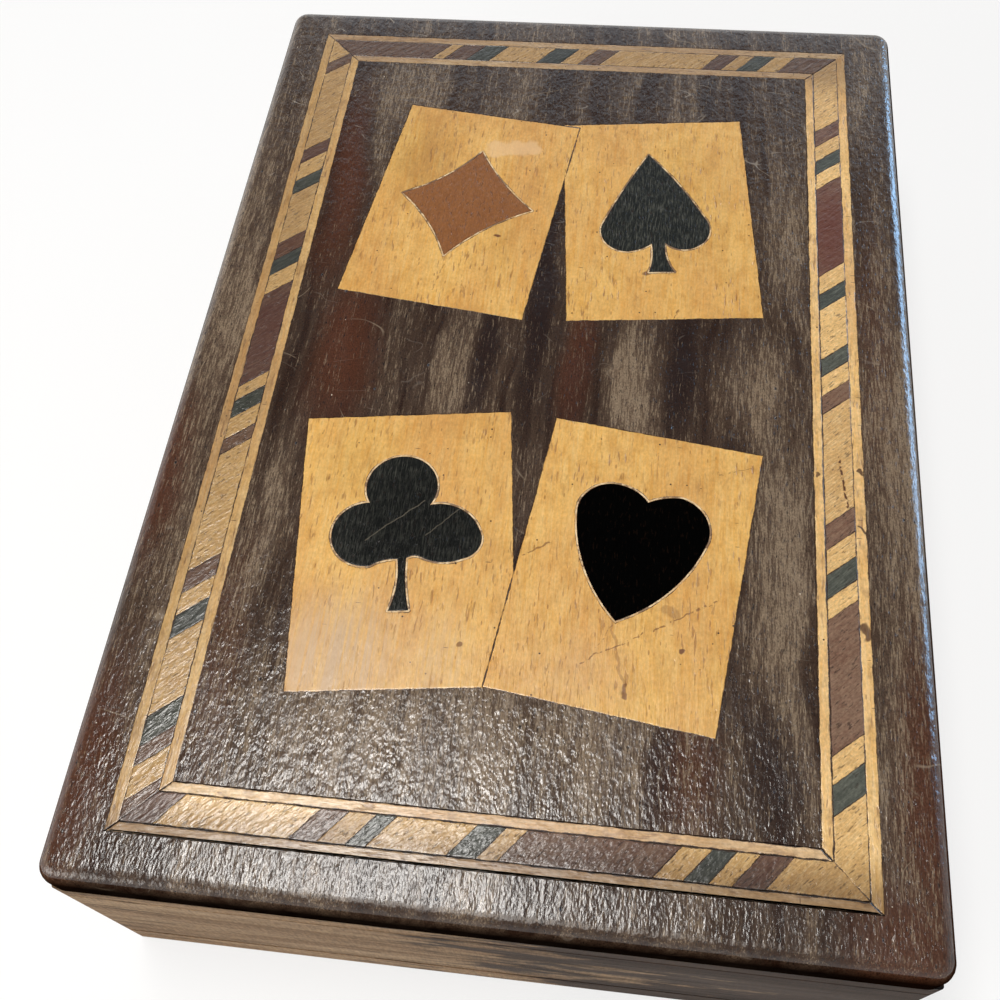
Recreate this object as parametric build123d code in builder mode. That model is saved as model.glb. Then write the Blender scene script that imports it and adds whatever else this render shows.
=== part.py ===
"""Playing card box with a drawer.

A flat wooden box for two packs of cards laid side by side.  The dark top board
is inlaid with a mitred banding and four playing cards.  The drawer slides out
of the near end, under the top.  Millimetres, +Z up, drawer opening towards -Y.
The origin is on the table, under the middle of the box.
"""

import os

from build123d import *

# ---- driving dimensions of the box -----------------------------------------
WIDTH = 106.0               # top board, across
LENGTH = 155.3              # top board, along the drawer's travel
TOP_BOARD = 6.2             # thickness of the dark top board
UPPER_BOARD = 4.3           # pale board glued under it
DRAWER_SPACE = 24.5         # height of the drawer opening
BASE_BOARD = 6.0            # bottom board
HEIGHT = BASE_BOARD + DRAWER_SPACE + UPPER_BOARD + TOP_BOARD

PLAN_CORNER = 2.6           # rounding of the top board's corners, seen from above
TOP_ROUND = 2.3             # rounding of its upper edge
LOWER_ROUND = 0.8           # rounding of its lower edge
LIP = 0.3                   # the top board stands this far proud of the box under it
EASED = 0.4                 # hand-eased outer edges of the pale boards

# ---- carcass and drawer -----------------------------------------------------
SIDE_WALL = 4.5
BACK_WALL = 5.0
FRONT_PANEL = 7.0           # thickness of the drawer front
DRAWER_WALL = 2.9
DRAWER_BACK = 4.0
DRAWER_FLOOR = 2.2
FLOOR_LIFT = 1.2            # drawer floor above the lower edge of the drawer sides
GROOVE = 1.2                # depth of the groove that holds the drawer floor
DIVIDER = 3.5
DIVIDER_DROP = 3.6          # the divider stops this far below the drawer sides
SIDE_PLAY = 0.3             # play each side of the drawer
UNDER_PLAY = 0.2            # play under the drawer
OVER_PLAY = 0.6             # play over the drawer sides
FRONT_PLAY = 0.3            # play round the drawer front
BACK_PLAY = 0.5             # play behind the drawer
JOINT_PLAY = 0.05           # glue line of the grooves
FINGER_HOLE = 20.0          # hole in the back, to push the drawer out
FINGER_NOTCH = 11.0         # radius of the scoop in the divider

# ---- inlay ------------------------------------------------------------------
VENEER = 1.0                # depth of every inlay
SEAM = 0.1                  # open joint between neighbouring inlays
BORDER_WIDTH = 90.6         # outline of the mitred banding
BORDER_LENGTH = 142.3
BORDER_MIDDLE = (-0.3, -0.15)   # hand work: not quite in the middle of the board
STRINGING = 1.45            # pale line along each edge of the banding
BANDING = 6.8               # whole width of the banding
LEAN = 0.84                 # slope of the block joints, along per across

CARD_WIDTH = 29.2
CARD_LENGTH = 41.4
FILLER = 0.22               # pale filler in the saw cut round each suit mark

# ---- places worked out from the sizes ---------------------------------------
Z_SPACE = BASE_BOARD                      # floor of the drawer opening
Z_UPPER = Z_SPACE + DRAWER_SPACE          # underside of the upper board
Z_TOP = Z_UPPER + UPPER_BOARD             # underside of the top board
Z_INLAY = HEIGHT - VENEER                 # bed of the inlays

BODY_X = WIDTH / 2 - LIP
BODY_Y = LENGTH / 2 - LIP
SPACE_X = BODY_X - SIDE_WALL              # half width of the drawer opening
DRAWER_X = SPACE_X - SIDE_PLAY            # half width of the drawer sides
BAY_X = DRAWER_X - DRAWER_WALL            # half width inside the drawer
FRONT_Y = -BODY_Y + FRONT_PANEL           # back of the drawer front
CARCASS_Y = FRONT_Y + FRONT_PLAY          # front end of the carcass sides
DRAWER_END_Y = BODY_Y - BACK_WALL - BACK_PLAY
BAY_END_Y = DRAWER_END_Y - DRAWER_BACK
DIVIDER_Y = (FRONT_Y + BAY_END_Y) / 2

Z_DRAWER = Z_SPACE + UNDER_PLAY
Z_DRAWER_TOP = Z_UPPER - OVER_PLAY
Z_FLOOR = Z_DRAWER + FLOOR_LIFT
Z_BAY = Z_FLOOR + DRAWER_FLOOR

os.makedirs("parts", exist_ok=True)


def save(built, name):
    """Label a finished piece and write it."""
    built.part.label = name
    export_step(built.part, f"parts/{name}.step")


def board(x0, x1, y0, y1, z0, z1):
    """Add a plain board between these limits to the part being built."""
    with Locations(((x0 + x1) / 2, (y0 + y1) / 2, (z0 + z1) / 2)):
        Box(x1 - x0, y1 - y0, z1 - z0)


def ease_upright_edges(built):
    """Ease the four upright corners of a board."""
    fillet(built.edges().filter_by(Axis.Z), radius=EASED)


# ---- suit marks, as outlines in the middle of an upright card ------------------

def diamond_outline():
    """Four hollow sides between four points."""
    top, right, foot, left = (0.0, 12.2), (11.0, 1.0), (-0.3, -10.8), (-10.4, 0.7)
    ThreePointArc(top, (5.0, 6.1), right)
    ThreePointArc(right, (4.6, -4.2), foot)
    ThreePointArc(foot, (-4.7, -4.4), left)
    ThreePointArc(left, (-4.5, 5.7), top)


def spade_outline():
    """Two round lobes under a point, on a flared foot."""
    tip = (-0.8, 13.4)
    right_cheek, right_low, right_root = (7.3, -0.6), (3.7, -7.1), (0.9, -5.7)
    left_cheek, left_low, left_root = (-8.5, -1.1), (-4.8, -7.3), (-1.2, -5.8)
    right_foot, left_foot = (2.0, -11.5), (-1.9, -11.5)
    ThreePointArc(tip, (3.45, 7.0), right_cheek)
    ThreePointArc(right_cheek, (7.4, -4.9), right_low)
    ThreePointArc(right_low, (2.2, -6.7), right_root)
    ThreePointArc(right_root, (0.9, -8.4), right_foot)
    Line(right_foot, left_foot)
    ThreePointArc(left_foot, (-1.2, -8.5), left_root)
    ThreePointArc(left_root, (-2.9, -6.8), left_low)
    ThreePointArc(left_low, (-8.3, -5.4), left_cheek)
    ThreePointArc(left_cheek, (-4.9, 6.2), tip)


def club_outline():
    """Three lobes, the right one drawn out, on a thin foot."""
    right_notch, left_notch = (3.3, 5.8), (-5.0, 6.4)
    right_side, right_low = (10.0, 1.9), (7.8, -2.6)
    right_dip, right_root = (2.3, -2.2), (0.3, -2.3)
    right_foot, left_foot = (0.8, -9.9), (-1.9, -9.9)
    left_root, left_low = (-0.9, -2.4), (-4.6, -3.3)
    ThreePointArc(left_notch, (-0.65, 13.7), right_notch)
    ThreePointArc(right_notch, (7.2, 5.2), right_side)
    ThreePointArc(right_side, (10.0, -1.0), right_low)
    ThreePointArc(right_low, (5.0, -3.05), right_dip)
    ThreePointArc(right_dip, (1.3, -1.95), right_root)
    ThreePointArc(right_root, (0.3, -6.0), right_foot)
    Line(right_foot, left_foot)
    ThreePointArc(left_foot, (-0.9, -6.2), left_root)
    ThreePointArc(left_root, (-2.6, -2.5), left_low)
    ThreePointArc(left_low, (-10.0, 1.6), left_notch)


def heart_outline():
    """Two lobes over a point, the right one a little lower."""
    cleft, tip = (0.6, 9.9), (-0.3, -8.2)
    right_top, right_side = (5.0, 11.5), (9.4, 5.8)
    left_top, left_side = (-4.2, 11.8), (-8.5, 6.4)
    ThreePointArc(cleft, (2.6, 11.0), right_top)
    ThreePointArc(right_top, (8.3, 9.6), right_side)
    ThreePointArc(right_side, (7.1, -0.4), tip)
    ThreePointArc(tip, (-6.3, -0.6), left_side)
    ThreePointArc(left_side, (-7.6, 10.0), left_top)
    ThreePointArc(left_top, (-1.6, 11.4), cleft)


# Each card: middle of the card, its turn in degrees, its mark, and the card over it.
CARDS = {
    "diamond": ((-15.9, 31.5), -7.5, diamond_outline, None),
    "spade": ((15.0, 31.4), 5.5, spade_outline, "diamond"),
    "club": ((-15.8, -29.8), 7.0, club_outline, "heart"),
    "heart": ((14.3, -30.4), -7.7, heart_outline, None),
}


def card_blank(suit, shrink=0.0, mode=Mode.ADD):
    """Add the outline of a whole card to the sketch being built."""
    middle, turn, _, _ = CARDS[suit]
    with Locations(middle):
        Rectangle(
            CARD_WIDTH - 2 * shrink, CARD_LENGTH - 2 * shrink, rotation=turn, mode=mode
        )


def suit_solid(suit, grow=0.0):
    """A suit mark as a solid standing on the inlay bed, grown all round."""
    (x, y), turn, outline, _ = CARDS[suit]
    card_plane = Plane((x, y, Z_INLAY)).rotated((0, 0, turn))
    with BuildPart() as mark:
        with BuildSketch(card_plane):
            with BuildLine():
                outline()
            make_face()
            if grow:
                offset(amount=grow)
        extrude(amount=VENEER)
    return mark.part


# ---- mitred banding -------------------------------------------------------------

def border_corners(inset):
    """Corners of the banding's outline, drawn in by inset; counted from near left."""
    x = BORDER_WIDTH / 2 - inset
    y = BORDER_LENGTH / 2 - inset
    middle_x, middle_y = BORDER_MIDDLE
    return [
        (middle_x - x, middle_y - y),
        (middle_x + x, middle_y - y),
        (middle_x + x, middle_y + y),
        (middle_x - x, middle_y + y),
    ]


def mitred_strip(side, outer, inner):
    """Draw one mitred length of the banding, between two insets from its outline."""
    far_corners = border_corners(outer)
    near_corners = border_corners(inner)
    after = (side + 1) % 4
    Polyline(
        far_corners[side],
        far_corners[after],
        near_corners[after],
        near_corners[side],
        close=True,
    )


def block_outline(side, start, end):
    """Draw one slanted block of a side, from start to end along its middle line."""
    outer = border_corners(STRINGING)[side]
    inner = border_corners(BANDING - STRINGING)[side]
    runs_along_x = side in (0, 2)
    across = (outer[1], inner[1]) if runs_along_x else (outer[0], inner[0])
    middle = sum(across) / 2
    slant = [(a - middle) * LEAN for a in across]
    points = [
        (start + slant[0], across[0]),
        (start + slant[1], across[1]),
        (end + slant[1], across[1]),
        (end + slant[0], across[0]),
    ]
    if not runs_along_x:
        points = [(b, a) for a, b in points]
    Polyline(*points, close=True)


# The blocks of each side as (wood, where the block ends along the side), towards +X or +Y.
PAST_MITRE = 90.0
SIDES = {
    "near": (0, [
        ("brown", -38.4), ("pale", -21.8), ("brown", -18.4), ("pale", -15.0), ("dark", -12.6),
        ("pale", -3.0), ("dark", 0.4), ("pale", 3.0), ("brown", 20.8), ("pale", 24.3),
        ("dark", 27.1), ("pale", 29.8), ("brown", 33.5), ("pale", PAST_MITRE),
    ]),
    "right": (1, [
        ("pale", -59.2), ("dark", -55.5), ("pale", -52.0), ("brown", -34.2), ("pale", -31.3),
        ("dark", -27.9), ("pale", -24.2), ("brown", -20.5), ("pale", -2.7), ("brown", 0.4),
        ("pale", 3.7), ("dark", 6.8), ("pale", 15.9), ("dark", 18.8), ("pale", 22.4),
        ("brown", 40.4), ("pale", 43.6), ("dark", 46.5), ("pale", 49.8), ("brown", 53.2),
        ("pale", PAST_MITRE),
    ]),
    "far": (2, [
        ("brown", -24.5), ("pale", -22.3), ("brown", -18.4), ("dark", -14.4), ("pale", -6.1),
        ("dark", -2.0), ("pale", 1.1), ("brown", 4.9), ("pale", 22.3), ("brown", 25.6),
        ("pale", 28.3), ("dark", 31.7), ("pale", 35.1), ("brown", PAST_MITRE),
    ]),
    "left": (3, [
        ("brown", -65.9), ("pale", -61.7), ("brown", -59.2), ("dark", -55.3), ("pale", -44.9),
        ("dark", -41.6), ("pale", -38.3), ("brown", -35.1), ("pale", -16.6), ("brown", -14.1),
        ("pale", -10.5), ("dark", -7.4), ("pale", -4.8), ("brown", 12.5), ("pale", 16.3),
        ("dark", 19.4), ("brown", 22.9), ("pale", 33.4), ("dark", 36.4), ("pale", 40.4),
        ("brown", 43.5), ("pale", 62.2), ("brown", 64.9), ("pale", PAST_MITRE),
    ]),
}


# ---- top board --------------------------------------------------------------

with BuildPart() as top_board:
    with BuildSketch(Plane.XY.offset(Z_TOP)):
        RectangleRounded(WIDTH, LENGTH, PLAN_CORNER)
    extrude(amount=TOP_BOARD)
    fillet(top_board.edges().group_by(Axis.Z)[-1], radius=TOP_ROUND)
    fillet(top_board.edges().group_by(Axis.Z)[0], radius=LOWER_ROUND)
    with BuildSketch(Plane.XY.offset(Z_INLAY)):
        with Locations(BORDER_MIDDLE):
            Rectangle(BORDER_WIDTH, BORDER_LENGTH)
            Rectangle(BORDER_WIDTH - 2 * BANDING, BORDER_LENGTH - 2 * BANDING, mode=Mode.SUBTRACT)
    extrude(amount=VENEER, mode=Mode.SUBTRACT)
    with BuildSketch(Plane.XY.offset(Z_INLAY)):
        for card in CARDS:
            card_blank(card)
    extrude(amount=VENEER, mode=Mode.SUBTRACT)
save(top_board, "top_board")

# ---- banding: two mitred lines of stringing, and the blocks between them ------

for line, outer, inner in (("outer", 0.0, STRINGING), ("inner", BANDING - STRINGING, BANDING)):
    for side_name, (side, _) in SIDES.items():
        with BuildPart() as stringing:
            with BuildSketch(Plane.XY.offset(Z_INLAY)):
                with BuildLine():
                    mitred_strip(side, outer, inner)
                make_face()
                offset(amount=-SEAM / 2, kind=Kind.INTERSECTION)
            extrude(amount=VENEER)
        save(stringing, f"stringing_{line}_{side_name}")

for side_name, (side, blocks) in SIDES.items():
    for wood in ("pale", "brown", "dark"):
        with BuildPart() as band_blocks:
            start = -PAST_MITRE
            for block_wood, end in blocks:
                if block_wood == wood:
                    with BuildSketch(Plane.XY.offset(Z_INLAY)):
                        with BuildLine():
                            block_outline(side, start, end)
                        make_face()
                        with BuildLine():
                            mitred_strip(side, STRINGING, BANDING - STRINGING)
                        make_face(mode=Mode.INTERSECT)
                        offset(amount=-SEAM / 2, kind=Kind.INTERSECTION)
                    extrude(amount=VENEER)
                start = end
        save(band_blocks, f"band_{side_name}_{wood}")

# ---- cards and their suit marks ----------------------------------------------

for suit, (_, _, _, card_over) in CARDS.items():
    with BuildPart() as card_veneer:
        with BuildSketch(Plane.XY.offset(Z_INLAY)):
            card_blank(suit, shrink=SEAM / 2)
            if card_over:
                card_blank(card_over, shrink=-SEAM / 2, mode=Mode.SUBTRACT)
        extrude(amount=VENEER)
        add(suit_solid(suit, FILLER), mode=Mode.SUBTRACT)
    save(card_veneer, f"card_{suit}")

    with BuildPart() as suit_mark:
        add(suit_solid(suit))
    save(suit_mark, f"mark_{suit}")

    with BuildPart() as suit_filler:
        add(suit_solid(suit, FILLER))
        add(suit_solid(suit), mode=Mode.SUBTRACT)
    save(suit_filler, f"filler_{suit}")

# ---- carcass ----------------------------------------------------------------

with BuildPart() as upper_board:
    board(-BODY_X, BODY_X, -BODY_Y, BODY_Y, Z_UPPER, Z_TOP)
    ease_upright_edges(upper_board)
save(upper_board, "upper_board")

with BuildPart() as base_board:
    board(-BODY_X, BODY_X, -BODY_Y, BODY_Y, 0, BASE_BOARD)
    ease_upright_edges(base_board)
    fillet(base_board.edges().group_by(Axis.Z)[0], radius=EASED)
save(base_board, "base_board")

for name, hand in (("side_left", -1), ("side_right", 1)):
    inner_x, outer_x = sorted((hand * SPACE_X, hand * BODY_X))
    with BuildPart() as side_wall:
        board(inner_x, outer_x, CARCASS_Y, BODY_Y, Z_SPACE, Z_UPPER)
    save(side_wall, name)

with BuildPart() as back_panel:
    board(-SPACE_X, SPACE_X, BODY_Y - BACK_WALL, BODY_Y, Z_SPACE, Z_UPPER)
    hole_middle = (0, BODY_Y - BACK_WALL / 2, Z_SPACE + DRAWER_SPACE / 2)
    with BuildSketch(Plane(hole_middle, x_dir=(1, 0, 0), z_dir=(0, 1, 0))):
        Circle(FINGER_HOLE / 2)
    extrude(amount=BACK_WALL, both=True, mode=Mode.SUBTRACT)
    fillet(back_panel.edges().filter_by(GeomType.CIRCLE), radius=EASED)
save(back_panel, "back_panel")

# ---- drawer -----------------------------------------------------------------

with BuildPart() as floor_cutter:
    board(
        -BAY_X - GROOVE, BAY_X + GROOVE, FRONT_Y - GROOVE, BAY_END_Y + GROOVE, Z_FLOOR, Z_BAY
    )

with BuildPart() as drawer_front:
    board(
        -BODY_X, BODY_X, -BODY_Y, FRONT_Y, Z_SPACE + FRONT_PLAY, Z_UPPER - FRONT_PLAY
    )
    fillet(drawer_front.edges().group_by(Axis.Y)[0], radius=EASED)
    add(floor_cutter.part, mode=Mode.SUBTRACT)
save(drawer_front, "drawer_front")

for name, hand in (("drawer_side_left", -1), ("drawer_side_right", 1)):
    inner_x, outer_x = sorted((hand * BAY_X, hand * DRAWER_X))
    with BuildPart() as drawer_side:
        board(inner_x, outer_x, FRONT_Y, DRAWER_END_Y, Z_DRAWER, Z_DRAWER_TOP)
        add(floor_cutter.part, mode=Mode.SUBTRACT)
    save(drawer_side, name)

with BuildPart() as drawer_back:
    board(-BAY_X, BAY_X, BAY_END_Y, DRAWER_END_Y, Z_DRAWER, Z_DRAWER_TOP)
    add(floor_cutter.part, mode=Mode.SUBTRACT)
save(drawer_back, "drawer_back")

with BuildPart() as drawer_floor:
    reach = GROOVE - JOINT_PLAY
    board(
        -BAY_X - reach, BAY_X + reach, FRONT_Y - reach, BAY_END_Y + reach, Z_FLOOR, Z_BAY
    )
save(drawer_floor, "drawer_floor")

with BuildPart() as drawer_divider:
    z_divider_top = Z_DRAWER_TOP - DIVIDER_DROP
    board(
        -BAY_X, BAY_X, DIVIDER_Y - DIVIDER / 2, DIVIDER_Y + DIVIDER / 2, Z_BAY, z_divider_top
    )
    scoop_middle = (0, DIVIDER_Y, z_divider_top)
    with BuildSketch(Plane(scoop_middle, x_dir=(1, 0, 0), z_dir=(0, 1, 0))):
        Circle(FINGER_NOTCH)
    extrude(amount=DIVIDER, both=True, mode=Mode.SUBTRACT)
save(drawer_divider, "drawer_divider")

print(f"box {WIDTH} x {LENGTH} x {HEIGHT} mm")
print(f"drawer bays {2 * BAY_X:.1f} x {DIVIDER_Y - DIVIDER / 2 - FRONT_Y:.2f} mm")
print(f"bay depth {Z_DRAWER_TOP - Z_BAY:.1f} mm, bay floor at {Z_BAY:.2f}")
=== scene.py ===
"""Woods, varnish, seams and wear of the playing card box with drawer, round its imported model. Metres."""

import math

import bmesh
import bpy
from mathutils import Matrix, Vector


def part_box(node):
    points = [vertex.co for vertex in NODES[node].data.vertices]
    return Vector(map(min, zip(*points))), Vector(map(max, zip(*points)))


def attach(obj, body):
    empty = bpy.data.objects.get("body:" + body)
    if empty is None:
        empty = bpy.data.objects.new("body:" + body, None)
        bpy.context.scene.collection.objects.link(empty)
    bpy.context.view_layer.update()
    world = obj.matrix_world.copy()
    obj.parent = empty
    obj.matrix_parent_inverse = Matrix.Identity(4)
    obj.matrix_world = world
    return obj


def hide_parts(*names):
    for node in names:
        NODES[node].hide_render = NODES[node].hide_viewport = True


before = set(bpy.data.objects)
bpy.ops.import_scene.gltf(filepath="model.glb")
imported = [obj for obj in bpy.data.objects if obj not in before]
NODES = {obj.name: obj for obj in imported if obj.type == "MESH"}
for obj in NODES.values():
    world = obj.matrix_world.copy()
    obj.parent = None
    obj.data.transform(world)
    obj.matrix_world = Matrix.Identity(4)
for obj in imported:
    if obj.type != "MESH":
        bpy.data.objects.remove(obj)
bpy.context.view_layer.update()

MM = 0.001
SIDES = ("near", "right", "far", "left")
SUITS = ("diamond", "spade", "club", "heart")

# Degrees that the grain is turned by, clockwise from +Y as seen from above.
ALONG = 0.0
ACROSS = 90.0
BLOCK_LEAN = 45.0


# ---- writing node trees ---------------------------------------------------------

class Graph:
    """Adds nodes to a tree. Each method but node and axes gives back one output socket."""

    def __init__(self, tree):
        self.tree = tree

    def node(self, kind, inputs=None, **settings):
        """A new node with its settings made, and its inputs linked or given a value."""
        made = self.tree.nodes.new(kind)
        for name, value in settings.items():
            setattr(made, name, value)
        for key, value in (inputs or {}).items():
            if isinstance(value, bpy.types.NodeSocket):
                self.tree.links.new(value, made.inputs[key])
            else:
                made.inputs[key].default_value = value
        return made

    def add(self, kind, inputs=None, output=0, **settings):
        return self.node(kind, inputs, **settings).outputs[output]

    def axes(self, vector):
        """The X, Y and Z of a vector."""
        return self.node("ShaderNodeSeparateXYZ", {0: vector}).outputs

    def math(self, operation, a, b=0.0, clamp=False):
        return self.add("ShaderNodeMath", {0: a, 1: b}, operation=operation, use_clamp=clamp)

    def vector(self, operation, a, b=(0.0, 0.0, 0.0)):
        return self.add("ShaderNodeVectorMath", {0: a, 1: b}, operation=operation)

    def measure(self, operation, a, b=(0.0, 0.0, 0.0)):
        """The length, distance or dot product of vectors."""
        return self.add("ShaderNodeVectorMath", {0: a, 1: b}, output="Value", operation=operation)

    def scaled(self, vector, factor):
        """A vector or a colour times a number."""
        return self.add("ShaderNodeVectorMath", {0: vector, "Scale": factor}, operation="SCALE")

    def total(self, *values):
        summed = values[0]
        for value in values[1:]:
            summed = self.math("ADD", summed, value)
        return summed

    def weighted(self, *terms):
        """Adds up terms, each a value and what it is multiplied by."""
        return self.total(*[self.math("MULTIPLY", value, factor) for value, factor in terms])

    def between(self, value, low, high, start=0.0, end=1.0):
        """Where value lies between low and high, as start to end, held outside them."""
        inputs = {"Value": value, 1: low, 2: high, 3: start, 4: end}
        return self.add("ShaderNodeMapRange", inputs, interpolation_type="SMOOTHSTEP")

    def linear(self, value, low, high, start, end):
        """The same as between, without its soft ends."""
        return self.add("ShaderNodeMapRange", {"Value": value, 1: low, 2: high, 3: start, 4: end})

    def mix(self, share, first, second, blend="MIX"):
        inputs = {0: share, 6: first, 7: second}
        return self.add("ShaderNodeMix", inputs, output=2, data_type="RGBA", blend_type=blend)

    def stain(self, colour, share, strength, towards):
        """Draws a colour towards another one by this share at this strength."""
        return self.mix(self.math("MULTIPLY", share, strength), colour, towards)

    def noise(self, where, detail, roughness, output):
        inputs = {"Vector": where, "Scale": 1.0, "Detail": detail, "Roughness": roughness}
        return self.add("ShaderNodeTexNoise", inputs, output=output)

    def cloud(self, where, per_mm, detail=3.0, roughness=0.55, output="Fac"):
        """Noise with so many spots per mm, the same on every axis or given for each."""
        each = per_mm if isinstance(per_mm, tuple) else (per_mm, per_mm, per_mm)
        return self.noise(self.vector("MULTIPLY", where, each), detail, roughness, output)

    def streaks(self, where, across, along, detail=3.0, roughness=0.55, shift=0.0):
        """Noise drawn out along the grain: so many per mm across it and along it."""
        inputs = {"Vector": where, "Location": (shift, shift, 0.0), "Scale": (across, along, across)}
        return self.noise(self.add("ShaderNodeMapping", inputs), detail, roughness, "Fac")

    def attribute(self, name):
        return self.add("ShaderNodeAttribute", output="Fac", attribute_name=name)


def srgb(red, green, blue):
    """A colour given in 0 to 255 as a picture shows it."""
    def linear(value):
        share = value / 255
        return share / 12.92 if share <= 0.04045 else ((share + 0.055) / 1.055) ** 2.4
    return (linear(red), linear(green), linear(blue), 1.0)


def new_material(name):
    made = bpy.data.materials.new(name)
    made.use_nodes = True
    made.node_tree.nodes.clear()
    return made, Graph(made.node_tree)


def millimetres(g):
    """Object coordinates in mm."""
    return g.vector("MULTIPLY", g.add("ShaderNodeTexCoord", output="Object"), (1000.0, 1000.0, 1000.0))


def grain_space(g, turn=ALONG, shift=None):
    """Object coordinates in mm, turned so that the grain runs along their Y."""
    where = millimetres(g)
    if shift is not None:
        where = g.vector("ADD", where, shift)
    return g.add("ShaderNodeMapping", {"Vector": where, "Rotation": (0.0, 0.0, math.radians(turn))})


def finish(g, colour, roughness, height, sheen=0.5):
    """The varnished surface: height is in mm, and its slopes break up the gloss."""
    normal = g.add("ShaderNodeBump", {"Strength": 1.0, "Distance": MM, "Height": height})
    inputs = {"Base Color": colour, "Roughness": roughness, "Normal": normal, "Specular IOR Level": sheen}
    g.node("ShaderNodeOutputMaterial", {"Surface": g.add("ShaderNodeBsdfPrincipled", inputs)})


# ---- marks of age ---------------------------------------------------------------

# Strokes, in mm: from x, y to x, y, half width, and how strong.
CARD_CRACKS = [
    (-0.2, -30.6, 3.7, -27.7, 0.16, 0.7), (8.9, -44.6, 25.7, -34.6, 0.14, 0.7),
    (25.6, -15.6, 31.3, -13.5, 0.14, 0.5), (18.8, 13.4, 18.6, 10.6, 0.14, 0.8),
    (-18.5, 13.5, -17.4, 19.0, 0.14, 0.5), (10.5, -42.5, 14.0, -37.0, 0.12, 0.5),
]
CARD_STAINS = [
    (12.3, -38.5, 14.4, -46.8, 0.24, 0.35), (14.5, -47.0, 14.8, -48.8, 0.40, 0.75),
    (14.0, 19.5, 14.3, 19.7, 0.7, 0.8), (19.3, -36.2, 20.6, -36.9, 0.7, 0.35),
    (-9.9, 25.3, -9.7, 25.4, 0.40, 0.9), (21.4, -41.9, 21.6, -41.8, 0.45, 0.9),
    (-6.6, -43.4, -6.5, -43.3, 0.40, 0.7), (1.1, 51.4, 1.1, 51.6, 0.45, 1.0),
]
PALE_PATCH = [(-12.2, 44.3, -6.2, 45.0, 2.1, 0.55)]
PIN_HOLES = [(41.7, -11.2, 42.8, -19.8, 0.22, 1.0)]
LINE_STAINS = [
    (44.0, -36.6, 44.6, -37.8, 0.75, 0.85), (44.1, -13.2, 44.5, -13.6, 0.4, 0.9),
    (44.2, -22.0, 44.8, -22.6, 0.35, 0.9), (38.9, -14.0, 39.1, -14.4, 0.35, 0.8),
]
CLUB_SCRATCHES = [(-21.2, -29.8, -14.0, -23.0, 0.10, 0.45), (-13.2, -28.3, -8.5, -23.3, 0.10, 0.35)]

# Soft streaks, in mm: middle x, middle y, half width, half length, and how strong.
DARK_FIGURE = [
    (-8.5, 3.0, 2.0, 16.0, 0.8), (-2.0, 16.0, 2.6, 32.0, 0.9), (5.0, 0.0, 2.4, 14.0, 0.3),
    (20.0, 2.0, 3.0, 16.0, 0.8), (-3.0, 60.0, 3.5, 12.0, 0.5), (22.0, 60.0, 2.5, 11.0, 0.5),
    (20.5, -57.0, 2.5, 12.0, 0.6), (33.0, -56.0, 4.0, 12.0, 0.5),
]
RED_FIGURE = [
    (-30.0, 2.0, 6.0, 18.0, 0.8), (-36.0, 35.0, 4.0, 26.0, 0.8), (4.5, 2.0, 3.0, 16.0, 0.8),
    (-52.0, -22.0, 4.5, 18.0, 0.7), (-51.0, -64.0, 6.0, 20.0, 0.7), (51.0, -58.0, 5.0, 26.0, 0.72),
    (-37.0, -48.0, 4.0, 22.0, 0.4), (47.0, 10.0, 3.0, 30.0, 0.3), (48.0, -74.0, 9.0, 9.0, 0.65),
    (23.0, -58.0, 5.0, 11.0, 0.55),
]
PALE_FIGURE = [
    (34.0, -30.0, 6.0, 30.0, 0.75), (49.0, -6.0, 6.0, 36.0, 0.60), (30.0, -2.0, 7.0, 12.0, 0.65),
    (12.5, -2.0, 4.0, 11.0, 0.60), (-13.0, -2.0, 3.5, 11.0, 0.35), (34.0, 28.0, 4.0, 20.0, 0.35),
    (-4.0, -56.0, 46.0, 14.0, 0.45), (-49.5, 0.0, 7.0, 95.0, 0.40), (49.5, 0.0, 7.0, 95.0, 0.35),
    (-30.0, 57.0, 12.0, 9.0, 0.40), (-35.0, -28.0, 4.0, 24.0, 0.45), (0.0, -18.0, 4.0, 12.0, 0.35),
]
CARD_SHADES = [
    (-24.0, 42.0, 8.0, 14.0, 0.9), (-25.0, -18.0, 6.0, 9.0, 0.5), (20.0, 36.0, 11.0, 16.0, 0.35),
    (-9.0, 26.0, 4.0, 12.0, 0.4),
]
# Painted sheen: where the lamp's reflection pales the near cards.
CARD_PAINTED_SHEEN = [(-22.0, -47.0, 10.0, 12.0, 1.0), (-9.0, -46.0, 6.0, 9.0, 0.5), (8.0, -46.0, 8.0, 6.0, 0.2)]
RED_BLOCKS = [(41.6, 30.0, 5.0, 14.0, 0.75), (-41.6, 30.0, 5.0, 20.0, 0.35), (-41.6, 4.0, 5.0, 9.0, 0.45)]
# Painted shade that darkens the club below the spade, which shares its wood.
CLUB_PAINTED_SHADE = [(-15.0, -28.0, 16.0, 18.0, 1.0)]
FIGURE_LEVEL = 38.0              # the height, in mm, at which the streaks are strongest

# Colours of the marks. Those of shade, blacker, grime and dirt darken what lies under them. Blacker is
# painted shade on the club and dirt mostly painted shade at the near end; the pale sheen colour is a
# painted sheen.
AGED = {
    "patch": srgb(226, 190, 146), "shade": srgb(232, 230, 214), "painted_sheen": srgb(196, 166, 132),
    "crack": srgb(112, 70, 38), "stain": srgb(96, 52, 34), "line stain": srgb(74, 46, 34),
    "pin hole": srgb(88, 48, 22), "red": srgb(92, 44, 32), "blacker": srgb(168, 168, 168),
    "club scratch": srgb(120, 112, 98), "grime": srgb(150, 141, 132), "rim": srgb(54, 32, 22),
    # dirt: mostly painted shade at the near end of the box, broken up like dirt.
    "dirt": srgb(92, 80, 70),
}


def strongest(g, marks):
    """Puts marks together: where they lie over each other, the strongest one counts."""
    most = marks[0]
    for mark in marks[1:]:
        most = g.math("MAXIMUM", most, mark)
    return most


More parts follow.
